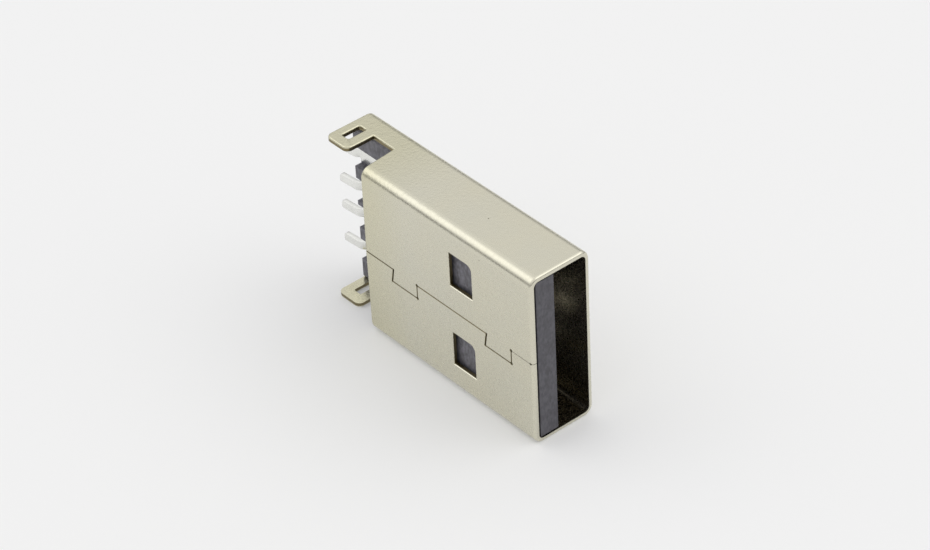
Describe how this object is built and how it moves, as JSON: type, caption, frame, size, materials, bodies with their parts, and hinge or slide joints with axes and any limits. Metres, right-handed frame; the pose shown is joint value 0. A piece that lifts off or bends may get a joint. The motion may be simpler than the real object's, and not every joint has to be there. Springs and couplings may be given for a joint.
{
  "type": "usb-a plug",
  "caption": "Board-mount USB-A plug: folded steel shell with an interlocked seam, latch windows and hooked solder legs around a moulded tongue that carries the contacts.",
  "frame": {"origin": "middle of the mating opening, in the plane of the mouth", "axes": "+X through the plug's thickness away from the seam, +Y along the plug from the mouth to the solder tails, +Z across its width; it stands on the narrow wall at -Z"},
  "size_m": [0.0044, 0.0207, 0.012],
  "materials": {
    "plated_steel": "satin nickel plate over stamped sheet",
    "moulded_plastic": "matt dark grey glass-filled moulding",
    "tinned_contact": "bright matt tin"
  },
  "bodies": {
    "root": {"shell": "plated_steel", "insulator": "moulded_plastic", "contact_vbus": "tinned_contact", "contact_data_minus": "tinned_contact", "contact_data_plus": "tinned_contact", "contact_ground": "tinned_contact"}
  },
  "joints": []
}
